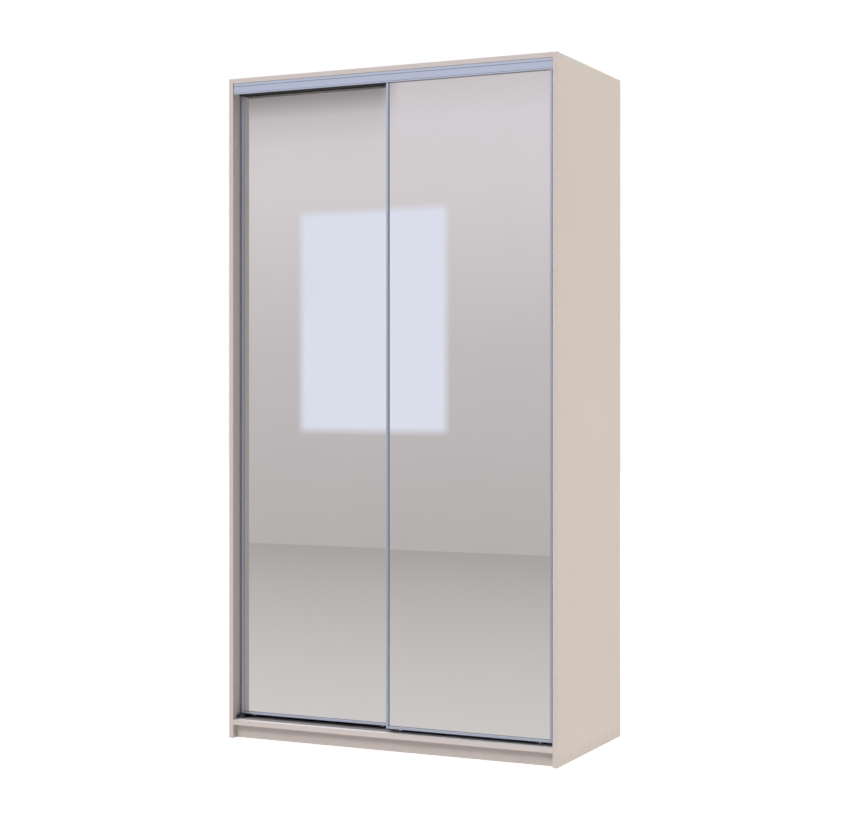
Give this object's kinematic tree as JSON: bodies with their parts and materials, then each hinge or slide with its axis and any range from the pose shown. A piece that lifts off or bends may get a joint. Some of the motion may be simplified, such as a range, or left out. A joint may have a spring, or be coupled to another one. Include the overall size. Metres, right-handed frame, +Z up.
{
  "type": "sliding wardrobe",
  "caption": "Tall free-standing wardrobe with framed mirror doors that slide past each other on aluminium tracks, with shelves and a hanging rail inside.",
  "frame": {"origin": "on the floor, under the middle of the whole cabinet's box", "axes": "+X to the right as seen from the front, +Y towards the wall behind, +Z up"},
  "size_m": [1.2, 0.6, 2.25],
  "materials": {
    "board": "matt melamine-faced particle board, warm greyish beige",
    "back_sheet": "pale lacquered hardboard, smooth face in, raw brown face out",
    "aluminium": "satin anodised, slightly blue silver",
    "mirror": "clear silvered mirror glass",
    "chrome": "polished",
    "steel": "zinc-plated sheet",
    "dark_plastic": "matt moulded",
    "pale_plastic": "satin moulded",
    "gasket": "soft matt seal",
    "pile": "dense short pile"
  },
  "bodies": {
    "carcass": {"left_side_panel": "board", "right_side_panel": "board", "top_panel": "board", "bottom_panel": "board", "centre_partition": "board", "front_plinth": "board", "rear_plinth": "board", "plinth_brace": "board", "back_panel_left": "back_sheet", "back_panel_right": "back_sheet", "back_joint_strip": "pale_plastic", "shelf_1": "board", "shelf_2": "board", "shelf_3": "board", "shelf_4": "board", "hat_shelf": "board", "lower_shelf": "board", "hanging_rail": "chrome", "rail_flange_left": "chrome", "rail_flange_right": "chrome", "top_track": "aluminium", "bottom_track": "aluminium", "track_stop_left": "dark_plastic", "track_stop_right": "dark_plastic"},
    "left_door": {"left_door_mirror": "mirror", "left_door_mirror_gasket": "gasket", "left_door_stile_left": "aluminium", "left_door_stile_right": "aluminium", "left_door_top_rail": "aluminium", "left_door_bottom_rail": "aluminium", "left_door_roller_carriage_left": "steel", "left_door_roller_carriage_right": "steel", "left_door_roller_axle_left": "steel", "left_door_roller_axle_right": "steel", "left_door_guide_bracket_left": "dark_plastic", "left_door_guide_bracket_right": "dark_plastic", "left_door_side_brush": "pile"},
    "left_door_roller_wheel_left": {"left_door_roller_wheel_left": "dark_plastic"},
    "left_door_guide_wheel_left": {"left_door_guide_wheel_left": "pale_plastic"},
    "left_door_roller_wheel_right": {"left_door_roller_wheel_right": "dark_plastic"},
    "left_door_guide_wheel_right": {"left_door_guide_wheel_right": "pale_plastic"},
    "right_door": {"right_door_mirror": "mirror", "right_door_mirror_gasket": "gasket", "right_door_stile_left": "aluminium", "right_door_stile_right": "aluminium", "right_door_top_rail": "aluminium", "right_door_bottom_rail": "aluminium", "right_door_roller_carriage_left": "steel", "right_door_roller_carriage_right": "steel", "right_door_roller_axle_left": "steel", "right_door_roller_axle_right": "steel", "right_door_guide_bracket_left": "dark_plastic", "right_door_guide_bracket_right": "dark_plastic", "right_door_side_brush": "pile", "right_door_meeting_brush": "pile"},
    "right_door_roller_wheel_left": {"right_door_roller_wheel_left": "dark_plastic"},
    "right_door_guide_wheel_left": {"right_door_guide_wheel_left": "pale_plastic"},
    "right_door_roller_wheel_right": {"right_door_roller_wheel_right": "dark_plastic"},
    "right_door_guide_wheel_right": {"right_door_guide_wheel_right": "pale_plastic"}
  },
  "joints": [
    {"name": "left_door_slide", "type": "slide", "parent": "carcass", "child": "left_door", "axis": [1, 0, 0], "range_m": [0, 0.576]},
    {"name": "left_door_roller_wheel_left_spin", "type": "hinge", "parent": "left_door", "child": "left_door_roller_wheel_left", "pos_m": [-0.534, -0.232, 0.0742], "axis": [0, 1, 0], "continuous": true},
    {"name": "left_door_guide_wheel_left_spin", "type": "hinge", "parent": "left_door", "child": "left_door_guide_wheel_left", "pos_m": [-0.53, -0.232, 2.224], "axis": [0, 0, 1], "continuous": true},
    {"name": "left_door_roller_wheel_right_spin", "type": "hinge", "parent": "left_door", "child": "left_door_roller_wheel_right", "pos_m": [-0.042, -0.232, 0.0742], "axis": [0, 1, 0], "continuous": true},
    {"name": "left_door_guide_wheel_right_spin", "type": "hinge", "parent": "left_door", "child": "left_door_guide_wheel_right", "pos_m": [-0.046, -0.232, 2.224], "axis": [0, 0, 1], "continuous": true},
    {"name": "right_door_slide", "type": "slide", "parent": "carcass", "child": "right_door", "axis": [-1, 0, 0], "range_m": [0, 0.576]},
    {"name": "right_door_roller_wheel_left_spin", "type": "hinge", "parent": "right_door", "child": "right_door_roller_wheel_left", "pos_m": [0.042, -0.272, 0.0742], "axis": [0, 1, 0], "continuous": true},
    {"name": "right_door_guide_wheel_left_spin", "type": "hinge", "parent": "right_door", "child": "right_door_guide_wheel_left", "pos_m": [0.046, -0.272, 2.224], "axis": [0, 0, 1], "continuous": true},
    {"name": "right_door_roller_wheel_right_spin", "type": "hinge", "parent": "right_door", "child": "right_door_roller_wheel_right", "pos_m": [0.534, -0.272, 0.0742], "axis": [0, 1, 0], "continuous": true},
    {"name": "right_door_guide_wheel_right_spin", "type": "hinge", "parent": "right_door", "child": "right_door_guide_wheel_right", "pos_m": [0.53, -0.272, 2.224], "axis": [0, 0, 1], "continuous": true}
  ],
  "couplings": [
    {"joint": "left_door_roller_wheel_left_spin", "follows": "left_door_slide", "rad_per_m": 100},
    {"joint": "left_door_guide_wheel_left_spin", "follows": "left_door_slide", "rad_per_m": 111.11},
    {"joint": "left_door_roller_wheel_right_spin", "follows": "left_door_slide", "rad_per_m": 100},
    {"joint": "left_door_guide_wheel_right_spin", "follows": "left_door_slide", "rad_per_m": 111.11},
    {"joint": "right_door_roller_wheel_left_spin", "follows": "right_door_slide", "rad_per_m": -100},
    {"joint": "right_door_guide_wheel_left_spin", "follows": "right_door_slide", "rad_per_m": -111.11},
    {"joint": "right_door_roller_wheel_right_spin", "follows": "right_door_slide", "rad_per_m": -100},
    {"joint": "right_door_guide_wheel_right_spin", "follows": "right_door_slide", "rad_per_m": -111.11}
  ]
}
